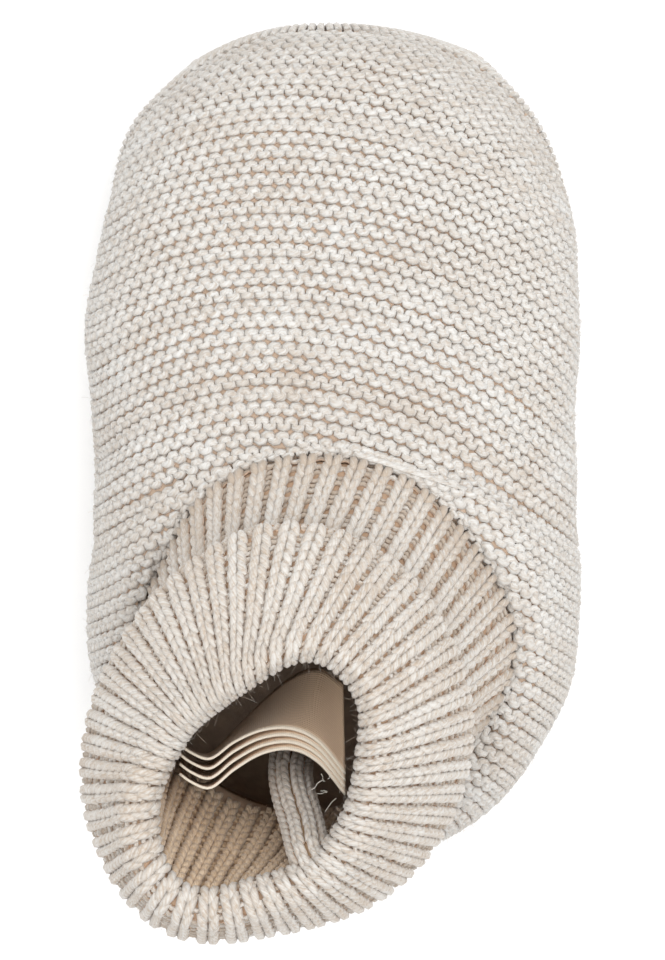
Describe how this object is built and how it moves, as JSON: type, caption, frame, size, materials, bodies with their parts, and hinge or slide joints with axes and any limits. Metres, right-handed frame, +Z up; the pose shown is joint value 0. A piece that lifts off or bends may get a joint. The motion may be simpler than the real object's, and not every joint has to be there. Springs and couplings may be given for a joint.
{
  "type": "knit slipper",
  "caption": "Newborn's soft knitted slipper: garter-stitch foot and sole, ribbed leg turned down outside as a cuff, blank ribbon label inside; worn on a bare or socked foot.",
  "frame": {"origin": "on the floor, under the middle of the whole slipper's box", "axes": "+Z up, +Y from the heel to the toe, +X to the right seen from above with the toe ahead"},
  "size_m": [0.0592, 0.1094, 0.057],
  "materials": {
    "sole_knit": "garter-stitch knit in soft oatmeal yarn, matt",
    "foot_knit": "garter-stitch knit in soft oatmeal yarn, matt, slightly hairy",
    "rib_knit": "single rib knit in soft oatmeal yarn, matt, hairy at the fold",
    "label_ribbon": "fine woven ribbon, satin sheen, blank"
  },
  "bodies": {
    "root": {"sole": "sole_knit", "upper": "foot_knit", "collar": "rib_knit", "label_leaf_1": "label_ribbon", "label_leaf_2": "label_ribbon", "label_leaf_3": "label_ribbon", "label_leaf_4": "label_ribbon"}
  },
  "joints": []
}
